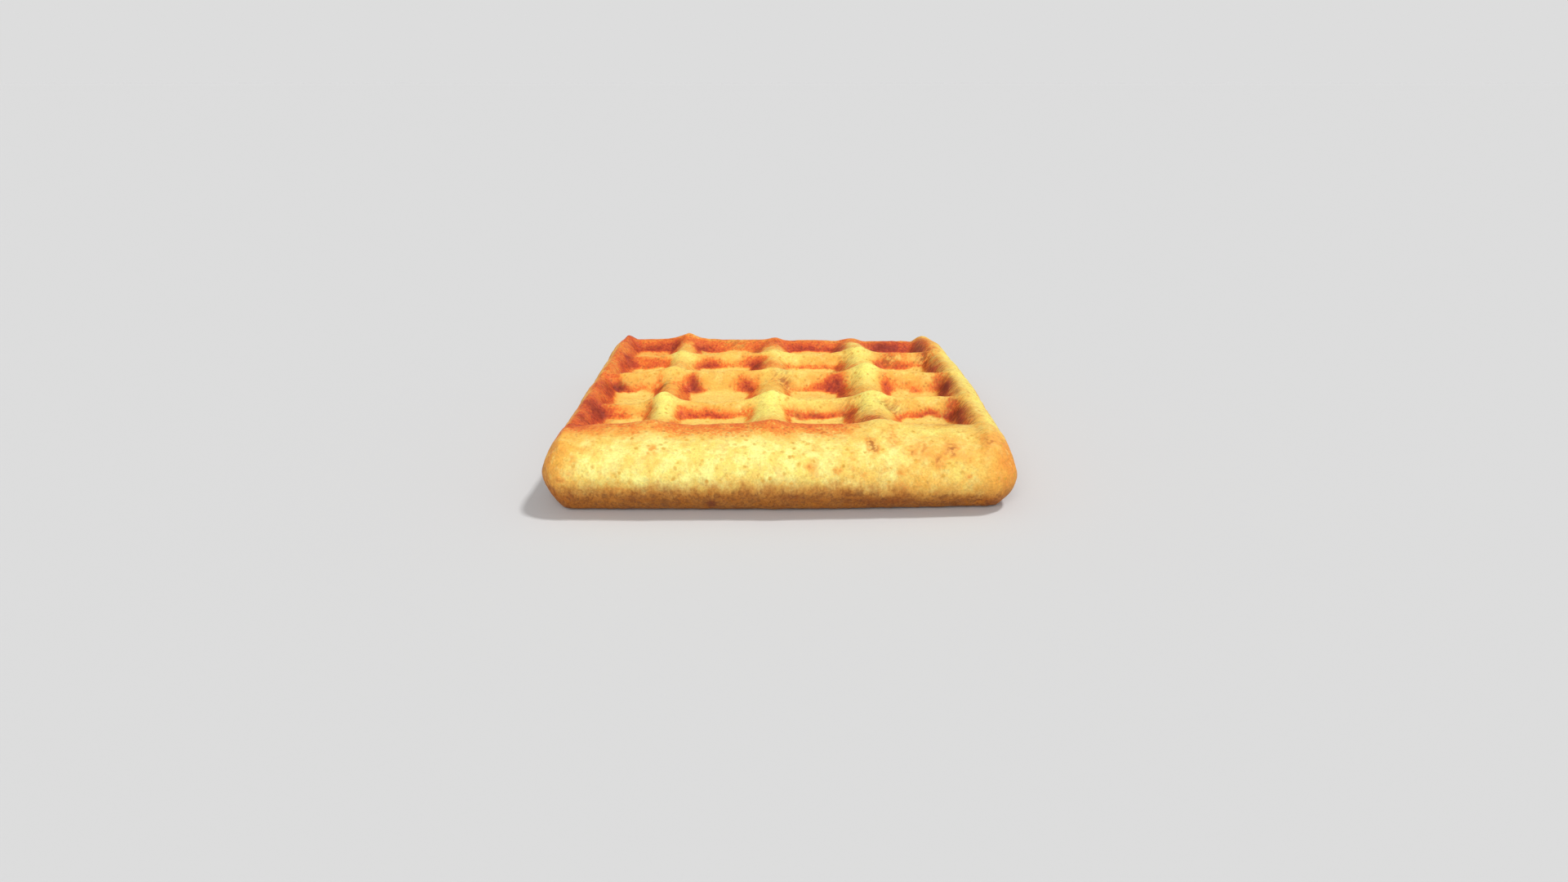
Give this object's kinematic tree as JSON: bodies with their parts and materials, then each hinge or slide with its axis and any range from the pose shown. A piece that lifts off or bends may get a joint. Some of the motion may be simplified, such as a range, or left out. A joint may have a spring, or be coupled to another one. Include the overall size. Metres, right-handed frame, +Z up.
{
  "type": "waffle",
  "caption": "Thick rectangular waffle with a grid of soft rounded pockets between raised ridges, a broad front rim and bulging golden sides.",
  "frame": {"origin": "middle of the footprint, on the flat rim of the underside that the waffle rests on", "axes": "+Z up out of the pockets, -Y towards the broad front rim, +X to the right when seen from the front"},
  "size_m": [0.1256, 0.1433, 0.021],
  "materials": {
    "waffle_crust": "matt baked crust, pale yellow crumb to orange and red-brown on the rims"
  },
  "bodies": {
    "root": {"waffle": "waffle_crust"}
  },
  "joints": []
}
